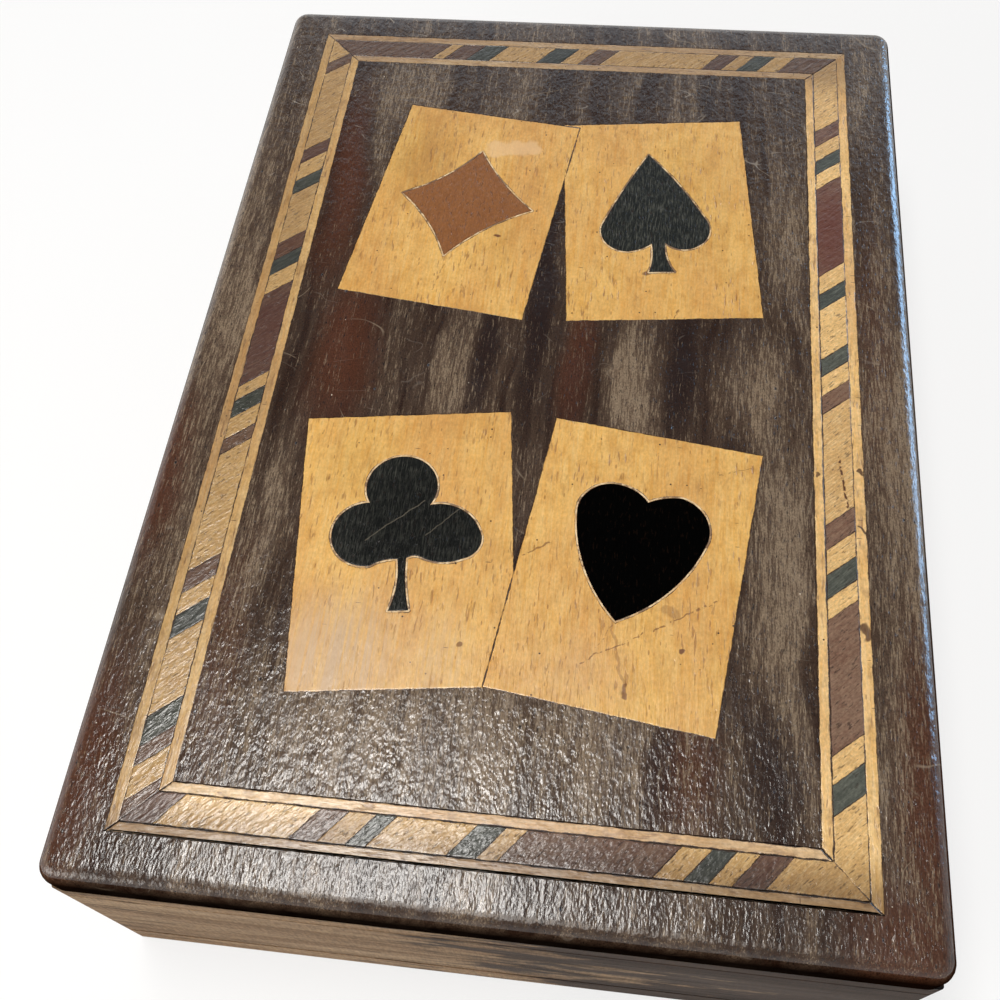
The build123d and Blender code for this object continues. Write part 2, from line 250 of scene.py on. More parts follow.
def stroke(g, where, x0, y0, x1, y1, half_width, strength):
    """How strongly one soft-edged stroke marks each place."""
    run = Vector((x1 - x0, y1 - y0, 0.0))
    offset = g.vector("SUBTRACT", where, (x0, y0, 0.0))
    share = g.measure("DOT_PRODUCT", offset, tuple(run / run.length_squared))
    share = g.math("MINIMUM", g.math("MAXIMUM", share, 0.0), 1.0)
    away = g.measure("DISTANCE", offset, g.scaled(tuple(run), share))
    return g.between(away, half_width * 0.5, half_width, strength, 0.0)


def strokes(g, where, chosen, unsteady=0.35):
    """Strokes between chosen points, which stray from straight by about this many mm."""
    slow = g.cloud(where, (0.5, 0.5, 0.0), 2, output="Color")
    reach = (unsteady * 4, unsteady * 4, 0.0)
    wobble = g.vector("MULTIPLY", g.vector("SUBTRACT", slow, (0.5, 0.5, 0.5)), reach)
    level = g.vector("MULTIPLY", g.vector("ADD", where, wobble), (1.0, 1.0, 0.0))
    return strongest(g, [stroke(g, level, *numbers) for numbers in chosen])


def streak(g, where, x, y, half_width, half_length, strength):
    """How strongly one soft streak along Y marks each place. It fades slowly with height."""
    offset = g.vector("SUBTRACT", where, (x, y, FIGURE_LEVEL))
    away = g.measure("LENGTH", g.vector("MULTIPLY", offset, (1 / half_width, 1 / half_length, 0.05)))
    return g.between(away, 0.2, 1.2, strength, 0.0)


def figure(g, where, chosen):
    """Soft streaks at chosen places."""
    return strongest(g, [streak(g, where, *numbers) for numbers in chosen])


def broken_up(g, where, marks, per_mm=1.6):
    """Leaves gaps in marks, so that a stroke becomes a row of pits."""
    return g.math("MULTIPLY", marks, g.between(g.cloud(where, per_mm, 1), 0.44, 0.54))


def scratches(g, where, width=0.0035, shift=0.0):
    """Thin broken curves: the level lines of a slow noise, kept in a few places only."""
    place = g.vector("ADD", where, (shift, shift, 0.0))
    away = g.math("ABSOLUTE", g.math("SUBTRACT", g.cloud(place, 0.05, 1.5, 0.4), 0.5))
    kept = g.between(g.cloud(place, 0.11, 1), 0.58, 0.66)
    return g.math("MULTIPLY", g.between(away, 0.0, width, 1.0, 0.0), kept)


def specks(g, where, per_mm, radius, rare):
    """Scattered dots: one to a cell, kept where the cell's random number passes rare."""
    cells = g.node("ShaderNodeTexVoronoi", {"Vector": where, "Scale": per_mm}).outputs
    chance = g.add("ShaderNodeSeparateColor", {"Color": cells["Color"]}, output="Red")
    dot = g.between(cells["Distance"], radius * per_mm * 0.6, radius * per_mm, 1.0, 0.0)
    return g.math("MULTIPLY", dot, g.math("GREATER_THAN", chance, rare))


def mottled(g, where, colour, amount, per_mm=4.5):
    """Fine speckle that lightens and darkens a colour by up to this share."""
    speckle = g.cloud(where, (per_mm, per_mm * 0.6, per_mm), 2, 0.6)
    return g.scaled(colour, g.linear(speckle, 0.32, 0.68, 1.0 - amount, 1.0 + amount))


def grime(g, colour):
    """Darker, dirtier wood towards the left, far and near sides of the banding."""
    x, y, _ = g.axes(millimetres(g))
    left = g.between(x, -34.0, -42.0, 0.0, 0.58)
    far = g.between(y, 58.0, 66.0, 0.0, 0.66)
    near = g.between(y, -63.0, -70.5, 0.0, 0.85)
    return g.mix(strongest(g, [left, far, near]), colour, AGED["grime"], "MULTIPLY")


def stained_rim(g, where, colour):
    """Darkens a piece along its rim where glue and dirt have caught, more in some places than others."""
    caught = g.cloud(where, 0.55, 4, 0.7)
    reach = g.math("ADD", g.attribute("rim"), g.linear(caught, 0.30, 0.70, -0.70, 0.45))
    return g.mix(g.between(reach, 0.35, 0.95, 0.0, 0.95), colour, AGED["rim"])


def card_marks(g, colour):
    """A worn pale patch, deeper and greyer places, cracks and stains, where the old cards have them, and a
    painted sheen in streaks over the near cards.
    """
    where = millimetres(g)
    colour = g.mix(strokes(g, where, PALE_PATCH, 0.8), colour, AGED["patch"])
    colour = g.mix(figure(g, where, CARD_SHADES), colour, AGED["shade"], "MULTIPLY")
    # Painted sheen: paler upright streaks over the near cards where the lamp's reflection lies.
    sheen_streaks = g.between(g.streaks(where, across=2.2, along=0.05), 0.36, 0.60, 0.35, 1.0)
    colour = g.stain(colour, figure(g, where, CARD_PAINTED_SHEEN), sheen_streaks, AGED["painted_sheen"])
    colour = g.mix(broken_up(g, where, strokes(g, where, CARD_CRACKS)), colour, AGED["crack"])
    return g.mix(strokes(g, where, CARD_STAINS), colour, AGED["stain"])


def line_marks(g, colour):
    """Dirt that has settled on the right-hand lines of the banding."""
    return g.mix(strokes(g, millimetres(g), LINE_STAINS, 0.6), colour, AGED["line stain"])


def pale_block_marks(g, colour):
    """A row of pin holes along the longest pale block."""
    where = millimetres(g)
    holes = broken_up(g, where, strokes(g, where, PIN_HOLES, 0.1), 1.1)
    return g.mix(holes, colour, AGED["pin hole"])


def brown_block_marks(g, colour):
    """The brown blocks at the far right and on the left are redder than the rest."""
    return g.mix(figure(g, millimetres(g), RED_BLOCKS), colour, AGED["red"])


def club_marks(g, colour):
    """Fine pale scratches across the club, and painted shade that makes it blacker than the spade."""
    where = millimetres(g)
    # Painted shade over the club.
    colour = g.mix(figure(g, where, CLUB_PAINTED_SHADE), colour, AGED["blacker"], "MULTIPLY")
    return g.mix(strokes(g, where, CLUB_SCRATCHES, 0.15), colour, AGED["club scratch"])


def near_end_shade_and_dirt(g, colour):
    """The near end of the box is darker towards its right corner and up under the lid: mostly painted
    shade where the light falls off and under the lid's edge, broken into patches so that it also reads as
    dirt.
    """
    where = millimetres(g)
    x, y, z = g.axes(where)
    patchy = g.linear(g.cloud(where, (0.07, 0.07, 0.28), 4, 0.65), 0.3, 0.7, -34.0, 34.0)
    right = g.between(g.math("ADD", x, patchy), -14.0, 18.0)
    # Painted shade under the lid's overhang.
    shade_under_lid = g.between(z, 32.5, 34.8, 0.0, 0.6)
    near_end = g.between(y, -68.0, -74.0)
    share = g.math("MULTIPLY", strongest(g, [right, shade_under_lid]), near_end)
    return g.mix(share, colour, AGED["dirt"], "MULTIPLY")


# ---- woods -----------------------------------------------------------------------

# Colours within each wood.
LID = {
    "ground": srgb(44, 28, 20), "light": srgb(92, 75, 61), "red": srgb(80, 44, 27),
    "dark": srgb(34, 21, 19), "fibre": srgb(150, 132, 110), "pore": srgb(17, 11, 9),
    # speck is the colour of painted glints of the varnish.
    "scratch": srgb(150, 134, 114), "rubbed": srgb(168, 158, 146), "speck": srgb(226, 214, 196),
    "pit": srgb(14, 9, 7),
}
GOLD = {
    "fibre": srgb(162, 128, 94), "cut": srgb(84, 52, 34), "speck": srgb(62, 38, 24),
    "cloud": srgb(228, 218, 198),
}
BLOCK_PORE = srgb(44, 29, 20)
BOARD = {"fibre": srgb(140, 124, 104), "pore": srgb(74, 56, 42), "crack": srgb(38, 27, 20)}
FILLER = {"pale": srgb(228, 204, 164), "aged": srgb(190, 152, 104), "lost": srgb(104, 74, 50)}
DRY_SHEEN = 0.1                  # specular level of the boards, whose varnish has worn off
LID_GLOSS = (0.12, 0.24)         # roughness of the lid's varnish, from its best to its most worn
# Down the side of the lid, in mm of height: where its painted shade and where its pale fibres come in.
SIDE_SHADE = (38.4, 40.75)
SIDE_FIBRE = (39.6, 40.7)
NEAR_SHADE = (-72.0, -75.5)      # Y, in mm, over which that painted shade deepens at the near end


def lid_figure(g, where):
    """The slow figure of the lid. Gives its colour, and how pale each place is from 0 to 1."""
    wander = g.vector("MULTIPLY", g.cloud(where, (0.05, 0.04, 0.05), 2, output="Color"), (7.0, 3.0, 0.0))
    bent = g.vector("ADD", where, g.vector("SUBTRACT", wander, (3.5, 1.5, 0.0)))
    broad = g.streaks(bent, across=0.16, along=0.012, detail=4, roughness=0.6)
    narrow = g.streaks(bent, across=0.6, along=0.03, detail=3, roughness=0.6, shift=31.0)
    red = figure(g, bent, RED_FIGURE)
    dark = figure(g, bent, DARK_FIGURE)
    pale = g.total(
        g.between(broad, 0.32, 0.70, 0.0, 0.50),
        g.between(narrow, 0.35, 0.65, -0.10, 0.22),
        figure(g, bent, PALE_FIGURE),
    )
    # Dark and red streaks leave only a small share of the pale ones under them.
    left_by_dark = g.linear(dark, 0.0, 1.0, 1.0, 0.1)
    left_by_red = g.linear(red, 0.0, 1.0, 1.0, 0.3)
    pale = g.math("MULTIPLY", pale, g.math("MULTIPLY", left_by_dark, left_by_red), clamp=True)
    colour = g.mix(pale, LID["ground"], LID["light"])
    colour = g.mix(red, colour, LID["red"])
    return g.mix(dark, colour, LID["dark"]), pale


def lid_wear(g, where, colour, pits):
    """Scratches, most of them towards the far end, pale specks that are painted glints of the varnish, and
    dark pits.
    """
    colour = g.stain(colour, scratches(g, where), 0.5, LID["scratch"])
    rubbed = scratches(g, g.vector("MULTIPLY", where, (2.2, 3.4, 1.0)), 0.006, 60.0)
    far_end = g.between(g.axes(where)[1], 10.0, 55.0, 0.15, 0.55)
    colour = g.stain(colour, rubbed, far_end, LID["rubbed"])
    # Painted glints: pale specks where the varnish catches the light.
    colour = g.mix(specks(g, where, per_mm=0.30, radius=0.11, rare=0.75), colour, LID["speck"])
    return g.stain(colour, pits, 0.85, LID["pit"])


def lid_wood(name, sheen, dullness):
    """Dark brown hardwood: pale fibres lie thick in its light streaks and thin in its dark and red
    ones, under a worn, rippled varnish. Painted shade darkens it down the side of the board, most at the
    near end."""
    material, g = new_material(name)
    where = grain_space(g)
    _, y, level = g.axes(where)
    colour, pale = lid_figure(g, where)

    fibre = g.streaks(where, across=4.6, along=0.42, detail=4, roughness=0.75)
    over = g.math("SUBTRACT", fibre, g.linear(pale, 0.0, 1.0, 0.62, 0.42))
    fibres = g.math("MULTIPLY", g.between(over, -0.03, 0.12), g.between(level, *SIDE_FIBRE))
    colour = g.stain(colour, fibres, 0.58, LID["fibre"])
    short = g.streaks(where, across=5.0, along=0.9, detail=2, roughness=0.5, shift=11.0)
    pores = g.between(short, 0.40, 0.30)
    colour = g.stain(colour, pores, 0.8, LID["pore"])
    colour = mottled(g, where, colour, 0.35, 5.0)
    pits = specks(g, g.vector("MULTIPLY", where, (1.0, 0.6, 1.0)), per_mm=0.42, radius=0.20, rare=0.70)
    colour = lid_wear(g, where, colour, pits)
    # Painted shade down the side of the board, deepest at the near end.
    deepest_painted_shade = g.between(y, *NEAR_SHADE, 0.50, 0.12)
    colour = g.scaled(colour, g.between(level, *SIDE_SHADE, deepest_painted_shade, 1.0))

    height = g.weighted(
        (g.streaks(where, across=1.45, along=0.70, detail=2, roughness=0.5, shift=5.0), 0.115),
        (g.streaks(where, across=3.2, along=1.6, detail=1, roughness=0.5, shift=15.0), 0.028),
        (g.cloud(where, (0.9, 0.8, 0.9), 2, 0.5), 0.04),
        (fibre, 0.016),
        (pores, -0.012),
        (pits, -0.06),
    )
    worn = g.cloud(where, (0.3, 0.15, 0.3))
    best, worst = LID_GLOSS
    finish(g, colour, g.linear(worn, 0.3, 0.7, best + dullness, worst + dullness), height, sheen)
    return material


def fleck_shares(g, where):
    """Brown flecks along the grain, thick in some patches and thin in others."""
    spots = g.streaks(where, across=2.7, along=0.42, detail=2, roughness=0.5, shift=17.0)
    patches = g.cloud(where, (0.12, 0.1, 0.12), 2)
    return g.math("MULTIPLY", g.between(spots, 0.59, 0.69), g.between(patches, 0.36, 0.60, 0.25, 1.0))


def leaning_ticks(g, where, colour, fleck):
    """Short ticks that lean to either side of the grain."""
    for lean, shift in ((0.5, 3.0), (-0.6, 9.0)):
        inputs = {
            "Vector": where, "Location": (shift, shift, 0.0),
            "Rotation": (0.0, 0.0, lean), "Scale": (2.6, 0.8, 1.0),
        }
        ticks = specks(g, g.add("ShaderNodeMapping", inputs), per_mm=0.40, radius=0.34, rare=0.62)
        colour = g.stain(colour, ticks, 0.60, fleck)
    return colour


def golden_wood(name, base, deep, fleck, marks, rough=1.0, shift=0.0, turn=ALONG):
    """Yellow close-grained wood: fine upright fibre, scattered brown flecks and, where rough is
    high, blotches of old stain."""
    material, g = new_material(name)
    where = grain_space(g, turn, (shift, shift * 0.7, 0.0))
    broad = g.streaks(where, across=0.10, along=0.03, detail=3, roughness=0.6)
    fibre = g.streaks(where, across=3.5, along=0.20, detail=4, roughness=0.7, shift=3.0)
    bands = g.streaks(where, across=0.25, along=0.9, detail=2, roughness=0.5, shift=13.0)
    colour = g.mix(g.between(broad, 0.3, 0.7), base, deep)
    colour = g.mix(g.between(bands, 0.35, 0.7, 0.0, 0.22), colour, deep)
    colour = g.mix(g.linear(fibre, 0.25, 0.75, 0.0, 1.0), colour, GOLD["fibre"], "SOFT_LIGHT")

    blotches = g.streaks(where, across=0.7, along=0.35, detail=3, roughness=0.6, shift=41.0)
    colour = g.stain(colour, g.between(blotches, 0.52, 0.68), 0.45 * rough, fleck)
    flecks = fleck_shares(g, where)
    colour = leaning_ticks(g, where, g.stain(colour, flecks, 0.60, fleck), fleck)
    flattened = g.vector("MULTIPLY", where, (0.45, 2.6, 1.0))
    cuts = specks(g, flattened, per_mm=0.55, radius=0.22, rare=1.0 - 0.5 * rough)
    colour = g.stain(colour, cuts, 0.7, GOLD["cut"])
    colour = g.mix(specks(g, where, per_mm=0.50, radius=0.16, rare=0.50), colour, GOLD["speck"])
    cloudy = g.streaks(where, across=0.55, along=0.30, detail=3, roughness=0.6, shift=77.0)
    colour = g.mix(g.between(cloudy, 0.40, 0.66, 0.0, 0.55), colour, GOLD["cloud"], "MULTIPLY")
    colour = marks(g, mottled(g, where, colour, 0.09 + 0.08 * rough, 3.0))
    colour = grime(g, stained_rim(g, where, colour))

    height = g.weighted(
        (fibre, 0.03),
        (g.streaks(where, across=1.4, along=0.5, detail=2, roughness=0.5), 0.05 + 0.05 * rough),
        (flecks, -0.03),
    )
    finish(g, colour, g.linear(broad, 0.3, 0.7, 0.22, 0.34), height)
    return material


def block_wood(name, light, dark, thread, turn=ALONG, contrast=1.0, sheen=0.5, marks=None):
    """Wood of the banding and the suit marks: its tone varies from piece to piece, with threads of
    paler fibre."""
    material, g = new_material(name)
    tone = g.attribute("tone")
    along, sideways = g.math("MULTIPLY", tone, 97.0), g.math("MULTIPLY", tone, 53.0)
    where = grain_space(g, turn, g.add("ShaderNodeCombineXYZ", {"X": along, "Y": sideways, "Z": 0.0}))
    fibre = g.streaks(where, across=1.7, along=0.14, detail=4, roughness=0.7)
    fine = g.streaks(where, across=5.0, along=0.5, detail=3, roughness=0.65, shift=7.0)
    share = g.weighted((tone, 0.60), (g.between(fibre, 0.32, 0.68), 0.40 * contrast))
    colour = g.mix(share, light, dark)
    colour = g.mix(g.between(fine, 0.45, 0.70, 0.0, 0.5 * contrast), colour, thread)
    blotches = g.between(g.cloud(where, (0.55, 0.4, 0.55), 3, 0.6), 0.52, 0.70)
    colour = g.stain(colour, blotches, 0.35 * contrast, dark)
    short = g.streaks(where, across=3.2, along=0.8, detail=2, roughness=0.5, shift=23.0)
    pores = g.between(short, 0.40, 0.32)
    colour = g.stain(colour, pores, 0.65 * contrast, BLOCK_PORE)
    colour = mottled(g, where, colour, 0.22 * contrast)
    if marks:
        colour = marks(g, colour)
    colour = grime(g, stained_rim(g, where, colour))
    height = g.weighted((fibre, 0.07), (g.cloud(where, (1.6, 0.8, 1.6), 2), 0.10), (pores, -0.02))
    finish(g, colour, g.linear(tone, 0.0, 1.0, 0.18, 0.32), height, sheen)
    return material


def board_wood(name, light, dark, turn):
    """Pale softwood of the box and drawer, greyed, mottled and cracked along the grain."""
    material, g = new_material(name)
    where = grain_space(g, turn)
    broad = g.streaks(where, across=0.30, along=0.015, detail=4, roughness=0.6)
    fibre = g.streaks(where, across=2.2, along=0.06, detail=5, roughness=0.7, shift=9.0)
    fine = g.streaks(where, across=6.0, along=0.9, detail=3, roughness=0.7)
    colour = g.mix(g.between(broad, 0.3, 0.7), light, dark)
    colour = g.mix(g.between(fibre, 0.35, 0.7, 0.0, 0.55), colour, dark)
    colour = g.mix(g.linear(fine, 0.3, 0.7, 0.0, 0.9), colour, BOARD["fibre"], "SOFT_LIGHT")
    colour = mottled(g, where, colour, 0.22, 3.2)
    sawn = g.cloud(where, (0.35, 2.4, 0.35), 3, 0.65)
    colour = g.scaled(colour, g.linear(sawn, 0.3, 0.7, 0.74, 1.24))

    split = g.streaks(where, across=1.5, along=0.05, detail=3, roughness=0.6, shift=21.0)
    kept = g.cloud(where, (0.10, 0.05, 0.10), 2)
    cracks = g.math("MULTIPLY", g.between(split, 0.57, 0.63), g.between(kept, 0.42, 0.56))
    short = g.streaks(where, across=4.0, along=0.9, detail=2, roughness=0.5, shift=29.0)
    pores = g.between(short, 0.38, 0.30)
    colour = g.stain(colour, pores, 0.45, BOARD["pore"])
    colour = g.stain(colour, cracks, 0.85, BOARD["crack"])
    # Painted shade at the near end, patchy like dirt.
    colour = near_end_shade_and_dirt(g, colour)
    height = g.weighted((fibre, 0.05), (fine, 0.02), (cracks, -0.12))
    finish(g, colour, g.linear(broad, 0.3, 0.7, 0.55, 0.70), height, DRY_SHEEN)
    return material


def kerf_filler():
    """Pale filler in the saw cut round each suit mark, lost or dirty in places."""
    material, g = new_material("pale_filler")
    where = grain_space(g)
    broken = g.cloud(where, 0.9)
    colour = g.mix(g.between(broken, 0.35, 0.65), FILLER["pale"], FILLER["aged"])
    lost = g.between(g.cloud(where, 0.35, 4, 0.7), 0.50, 0.58)
    colour = g.stain(colour, lost, 0.85, FILLER["lost"])
    finish(g, colour, g.linear(broken, 0.3, 0.7, 0.45, 0.6), g.math("MULTIPLY", broken, 0.03), 0.4)
    return material


# Colours of each wood: light, dark, and its flecks or threads where it has them.
CARD_COLOURS = (srgb(230, 194, 127), srgb(214, 173, 108), srgb(138, 90, 44))
LINE_X_COLOURS = (srgb(234, 210, 176), srgb(212, 184, 148), srgb(136, 98, 70))
LINE_Y_COLOURS = (srgb(242, 212, 160), srgb(222, 188, 138), srgb(136, 98, 66))
PALE_COLOURS = (srgb(232, 191, 128), srgb(184, 144, 90), srgb(246, 222, 174))
BROWN_COLOURS = (srgb(132, 106, 88), srgb(84, 46, 34), srgb(146, 120, 98))
DARK_COLOURS = (srgb(88, 90, 82), srgb(36, 41, 37), srgb(122, 124, 112))
DIAMOND_COLOURS = (srgb(140, 91, 50), srgb(116, 69, 38), srgb(158, 107, 64))
BLACK_COLOURS = (srgb(33, 35, 33), srgb(19, 21, 20), srgb(112, 112, 102))
HEART_COLOURS = (srgb(5, 5, 5), srgb(2, 2, 2), srgb(9, 9, 9))
BOX_COLOURS = (srgb(190, 164, 132), srgb(142, 116, 90))
FRONT_COLOURS = (srgb(186, 162, 132), srgb(138, 114, 90))
DRAWER_COLOURS = (srgb(206, 172, 128), srgb(178, 140, 98))

WOOD = {
    "top": lid_wood("figured_brown", sheen=0.5, dullness=0.0),
    "edge": lid_wood("worn_brown_edge", sheen=0.0, dullness=0.45),
    "card": golden_wood("golden_card", *CARD_COLOURS, card_marks, rough=0.15),
    "line_x": golden_wood("line_wood_x", *LINE_X_COLOURS, line_marks, shift=40.0, turn=ACROSS),
    "line_y": golden_wood("line_wood_y", *LINE_Y_COLOURS, line_marks, rough=0.7, shift=80.0),
    "pale": block_wood("block_pale", *PALE_COLOURS, BLOCK_LEAN, contrast=0.85, marks=pale_block_marks),
    "brown": block_wood("block_brown", *BROWN_COLOURS, BLOCK_LEAN, marks=brown_block_marks),
    "dark": block_wood("block_dark", *DARK_COLOURS, BLOCK_LEAN, contrast=0.8),
    "diamond": block_wood("red_brown_mark", *DIAMOND_COLOURS, contrast=0.6),
    "black": block_wood("black_mark", *BLACK_COLOURS, contrast=0.8, sheen=0.2, marks=club_marks),
    "heart": block_wood("black_heart", *HEART_COLOURS, contrast=0.3, sheen=0.0),
    "filler": kerf_filler(),
    "carcass_y": board_wood("box_board_y", *BOX_COLOURS, ALONG),
    "carcass_x": board_wood("box_board_x", *BOX_COLOURS, ACROSS),
    "front": board_wood("front_board", *FRONT_COLOURS, ACROSS),
    "drawer_y": board_wood("drawer_board_y", *DRAWER_COLOURS, ALONG),
    "drawer_x": board_wood("drawer_board_x", *DRAWER_COLOURS, ACROSS),
}


# ---- the tree that cuts the inlays ---------------------------------------------------

SAW_WAVES = 420.0                # waves of the saw line to a metre
SEED_STEP = 3.7                  # how far apart two seeds lie in the saw line's noise


def geometry_tree(name, sizes):
    """A geometry node tree with these named number inputs. Gives the tree, a graph and its inputs."""
    tree = bpy.data.node_groups.new(name, "GeometryNodeTree")
    tree.interface.new_socket("Geometry", in_out="INPUT", socket_type="NodeSocketGeometry")
    tree.interface.new_socket("Geometry", in_out="OUTPUT", socket_type="NodeSocketGeometry")
    for label, (kind, value) in sizes.items():
        socket = tree.interface.new_socket(label, in_out="INPUT", socket_type=kind)
        if value is not None:
            socket.default_value = value
    return tree, Graph(tree), tree.nodes.new("NodeGroupInput").outputs


def top_outline(g, mesh):
    """The outline of a piece's top faces, as a curve."""
    upright = g.axes(g.add("GeometryNodeInputNormal"))[2]
    faces_up = g.add("FunctionNodeCompare", {0: upright, 1: 0.5}, operation="GREATER_THAN")
    top = g.add("GeometryNodeSeparateGeometry", {0: mesh, "Selection": faces_up}, domain="FACE")
    neighbours = g.add("GeometryNodeInputMeshEdgeNeighbors")
    rim = g.add("FunctionNodeCompare", {2: neighbours, 3: 1}, data_type="INT", operation="EQUAL")
    return g.add("GeometryNodeMeshToCurve", {"Mesh": top, "Selection": rim})


def unsteady_line(g, line, given):
    """Cuts the outline into short steps and moves its points off it a little, keeping them level."""
    here = g.add("GeometryNodeInputPosition")
    following = g.add("GeometryNodeOffsetPointInCurve", {"Offset": 1}, output="Point Index")
    at_next = {"Index": following, "Value": here}
    there = g.add("GeometryNodeFieldAtIndex", at_next, data_type="FLOAT_VECTOR", domain="POINT")
    cuts = g.math("FLOOR", g.math("DIVIDE", g.measure("DISTANCE", here, there), given["Step"]))
    line = g.add("GeometryNodeSubdivideCurve", {"Curve": line, "Cuts": cuts})
    own = g.math("MULTIPLY", given["Seed"], SEED_STEP)
    inputs = {"Vector": here, "W": own, "Scale": SAW_WAVES, "Detail": 2.0}
    noise = g.add("ShaderNodeTexNoise", inputs, output="Color", noise_dimensions="4D")
    level = g.vector("MULTIPLY", g.vector("SUBTRACT", noise, (0.5, 0.5, 0.5)), (2.0, 2.0, 0.0))
    moved = g.scaled(level, given["Wander"])
    return g.add("GeometryNodeSetPosition", {"Geometry": line, "Offset": moved})


def closed_piece(g, line, given):
    """Fills the outline at the height of the lid's top and takes it down to a closed piece."""
    face = g.add("GeometryNodeFillCurve", {"Curve": line}, mode="NGONS")
    up = g.add("ShaderNodeCombineXYZ", {"Z": given["Top"]})
    face = g.add("GeometryNodeTransform", {"Geometry": face, "Translation": up})
    down = g.math("MULTIPLY", given["Depth"], -1.0)
    body = g.add("GeometryNodeExtrudeMesh", {"Mesh": face, "Offset Scale": down, "Individual": False})
    body = g.add("GeometryNodeFlipFaces", {"Mesh": body})
    joined = g.node("GeometryNodeJoinGeometry")
    for part in (face, body):
        g.tree.links.new(part, joined.inputs[0])
    return g.add("GeometryNodeMergeByDistance", {"Geometry": joined.outputs[0], "Distance": 0.001 * MM})


def settled(g, solid, given):
    """Gives each separate piece a tone of its own, and a small tilt and drop below the top."""
    here = g.add("GeometryNodeInputPosition")
    island = g.add("GeometryNodeInputMeshIsland", output="Island Index")
    own = {"ID": island, "Seed": given["Seed"]}
    tone = g.add("FunctionNodeRandomValue", own, output=1, data_type="FLOAT")
    level_way = {0: (-1.0, -1.0, 0.0), 1: (1.0, 1.0, 0.0)}
    lean = g.add("FunctionNodeRandomValue", {**level_way, **own}, data_type="FLOAT_VECTOR")
    grouped = {"Value": here, "Group ID": island}
    middle = g.add("GeometryNodeFieldAverage", grouped, data_type="FLOAT_VECTOR", domain="POINT")
    rise = g.measure("DOT_PRODUCT", g.vector("SUBTRACT", here, middle), lean)
    rise = g.math("MULTIPLY", rise, given["Tilt"])
    rise = g.math("MINIMUM", g.math("SUBTRACT", rise, g.math("MULTIPLY", tone, given["Drop"])), 0.0)
    stored = {"Geometry": solid, "Name": "tone", "Value": tone}
    solid = g.add("GeometryNodeStoreNamedAttribute", stored, data_type="FLOAT", domain="POINT")
    offset = g.add("ShaderNodeCombineXYZ", {"Z": rise})
    return g.add("GeometryNodeSetPosition", {"Geometry": solid, "Offset": offset})


def veneer_tree():
    """Cuts each inlay again from its outline: a slightly unsteady saw line, a piece of full depth,
    and a small tilt, drop and tone of its own."""
    tree, g, given = geometry_tree("cut_veneer", {
        "Step": ("NodeSocketFloat", 0.7 * MM),
        "Wander": ("NodeSocketFloat", 0.05 * MM),
        "Top": ("NodeSocketFloat", 41.0 * MM),
        "Depth": ("NodeSocketFloat", 0.9 * MM),
        "Drop": ("NodeSocketFloat", 0.03 * MM),
        "Tilt": ("NodeSocketFloat", 0.004),
        "Seed": ("NodeSocketInt", 1),
        "Wood": ("NodeSocketMaterial", None),
    })
    line = unsteady_line(g, top_outline(g, given["Geometry"]), given)
    solid = settled(g, closed_piece(g, line, given), given)
    solid = g.add("GeometryNodeRealizeInstances", {"Geometry": solid})
    solid = g.add("GeometryNodeSetMaterial", {"Geometry": solid, "Material": given["Wood"]})
    g.node("NodeGroupOutput", {0: solid})
    return tree


# ---- inlay pieces ------------------------------------------------------------------

FACES_UP = 0.7                   # least Z of a top face's normal
FACES_SIDE = 0.3                 # most Z of a side face's normal
RIM_WIDTH = 0.20 * MM            # how far in from its edge a piece is worn
RIM_DROP = 0.02 * MM             # how much it is worn down there, and again at the very edge
MERGE = 0.0005 * MM              # corners nearer than this are one


def merged_copy(node, name):
    """A new object with the node's mesh, its loose triangles joined."""
    mesh = NODES[node].data.copy()
    work = bmesh.new()
    work.from_mesh(mesh)
    bmesh.ops.remove_doubles(work, verts=work.verts, dist=MERGE)
    work.to_mesh(mesh)
    work.free()
    made = bpy.data.objects.new(name, mesh)
    bpy.context.scene.collection.objects.link(made)
    return made


def apply_tree(piece, tree, **inputs):
    """Puts the piece through the tree and keeps the plain mesh that comes out."""
    modifier = piece.modifiers.new("tree", "NODES")
    modifier.node_group = tree
    identifiers = {s.name: s.identifier for s in tree.interface.items_tree if s.in_out == "INPUT"}
    for name, value in inputs.items():
        modifier[identifiers[name]] = value
    graph = bpy.context.evaluated_depsgraph_get()
    graph.update()
    mesh = bpy.data.meshes.new_from_object(piece.evaluated_get(graph), depsgraph=graph)
    piece.modifiers.clear()
    piece.data = mesh


def outward_ways(edges):
    """For every corner of a piece's upper rim, the level direction that leads out of the piece."""
    normals = {}
    for edge in edges:
        side = min(edge.link_faces, key=lambda face: face.normal.z)
        for corner in edge.verts:
            normals.setdefault(corner, []).append(side.normal.copy())
    ways = {}
    for corner, found in normals.items():
        mean = sum(found, Vector()) / len(found)
        mean.z = 0.0
        ways[corner] = mean / max(mean.length_squared, 0.4)
    return ways


def rim_edges(work):
    """The edges that lie between a top face and a side face."""
    found = []
    for edge in work.edges:
        levels = [face.normal.z for face in edge.link_faces]
        if len(levels) == 2 and max(levels) > FACES_UP and min(levels) < FACES_SIDE:
            found.append(edge)
    return found


def let_out(work, grow):
    """Moves a piece's sides outward, with the corners below its rim."""
    for corner, way in outward_ways(rim_edges(work)).items():
        upright = [
            edge for edge in corner.link_edges
            if abs(edge.verts[0].co.z - edge.verts[1].co.z) > RIM_DROP * 2
        ]
        for moved in [corner] + [edge.other_vert(corner) for edge in upright]:
            moved.co += way * grow


def drawn_in(work, width):
    """Sets the top faces in from the rim. Gives them back, and the corners of the rim."""
    tops = [face for face in work.faces if face.normal.z > FACES_UP]
    bmesh.ops.inset_region(work, faces=tops, thickness=width, use_even_offset=False, use_boundary=True)
    return tops, {corner for edge in rim_edges(work) for corner in edge.verts}


